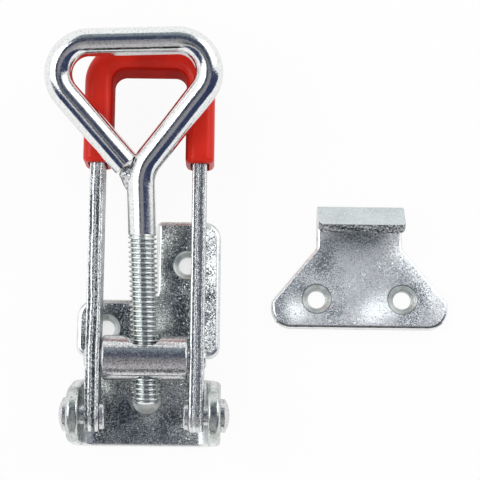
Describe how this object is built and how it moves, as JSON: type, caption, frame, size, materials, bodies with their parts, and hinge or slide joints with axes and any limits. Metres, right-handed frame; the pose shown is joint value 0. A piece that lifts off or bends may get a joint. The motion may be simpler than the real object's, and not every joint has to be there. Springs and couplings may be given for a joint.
{
  "type": "over-centre toggle latch",
  "caption": "Over-centre toggle latch: a folded base with ears, a U-shaped handle with a dipped grip, a screw-adjusted welded loop in a cross barrel, and a separate hooked keeper plate.",
  "frame": {"origin": "on the mounting surface, under the middle of the handle's pivot line", "axes": "+Z away from the mounting surface, +Y along the closed handle towards its grip, +X towards the keeper plate"},
  "size_m": [0.0856, 0.0853, 0.0268],
  "materials": {
    "plated_sheet": "bright zinc plate with a fine spangle on pressed steel sheet",
    "plated_strip": "zinc plated steel strip with sheared, streaky edges",
    "red_coating": "glossy red dipped soft vinyl",
    "plated_rivet": "zinc plated formed rivet",
    "plated_bar": "turned and zinc plated steel",
    "bright_rod": "bright zinc plated drawn rod",
    "plated_keeper": "zinc plated pressed steel with a cut, rough lip edge"
  },
  "bodies": {
    "base": {"base_plate": "plated_sheet", "pivot_rivet_left": "plated_rivet", "pivot_rivet_right": "plated_rivet", "keeper_plate": "plated_keeper"},
    "handle": {"handle_bar": "plated_strip", "handle_grip": "red_coating"},
    "cross_barrel": {"barrel": "plated_bar"},
    "loop": {"loop_bolt": "bright_rod"}
  },
  "joints": [
    {"name": "handle_pivot", "type": "hinge", "parent": "base", "child": "handle", "pos_m": [0, 0, 0.0123], "axis": [1, 0, 0], "range_deg": [0, 175]},
    {"name": "barrel_swing", "type": "hinge", "parent": "handle", "child": "cross_barrel", "pos_m": [0, 0.01175, 0.0123], "axis": [1, 0, 0], "range_deg": [0, 177]},
    {"name": "loop_adjust", "type": "slide", "parent": "cross_barrel", "child": "loop", "axis": [-0.0366, 0.9835, 0.177], "range_m": [0, 0.008]}
  ]
}
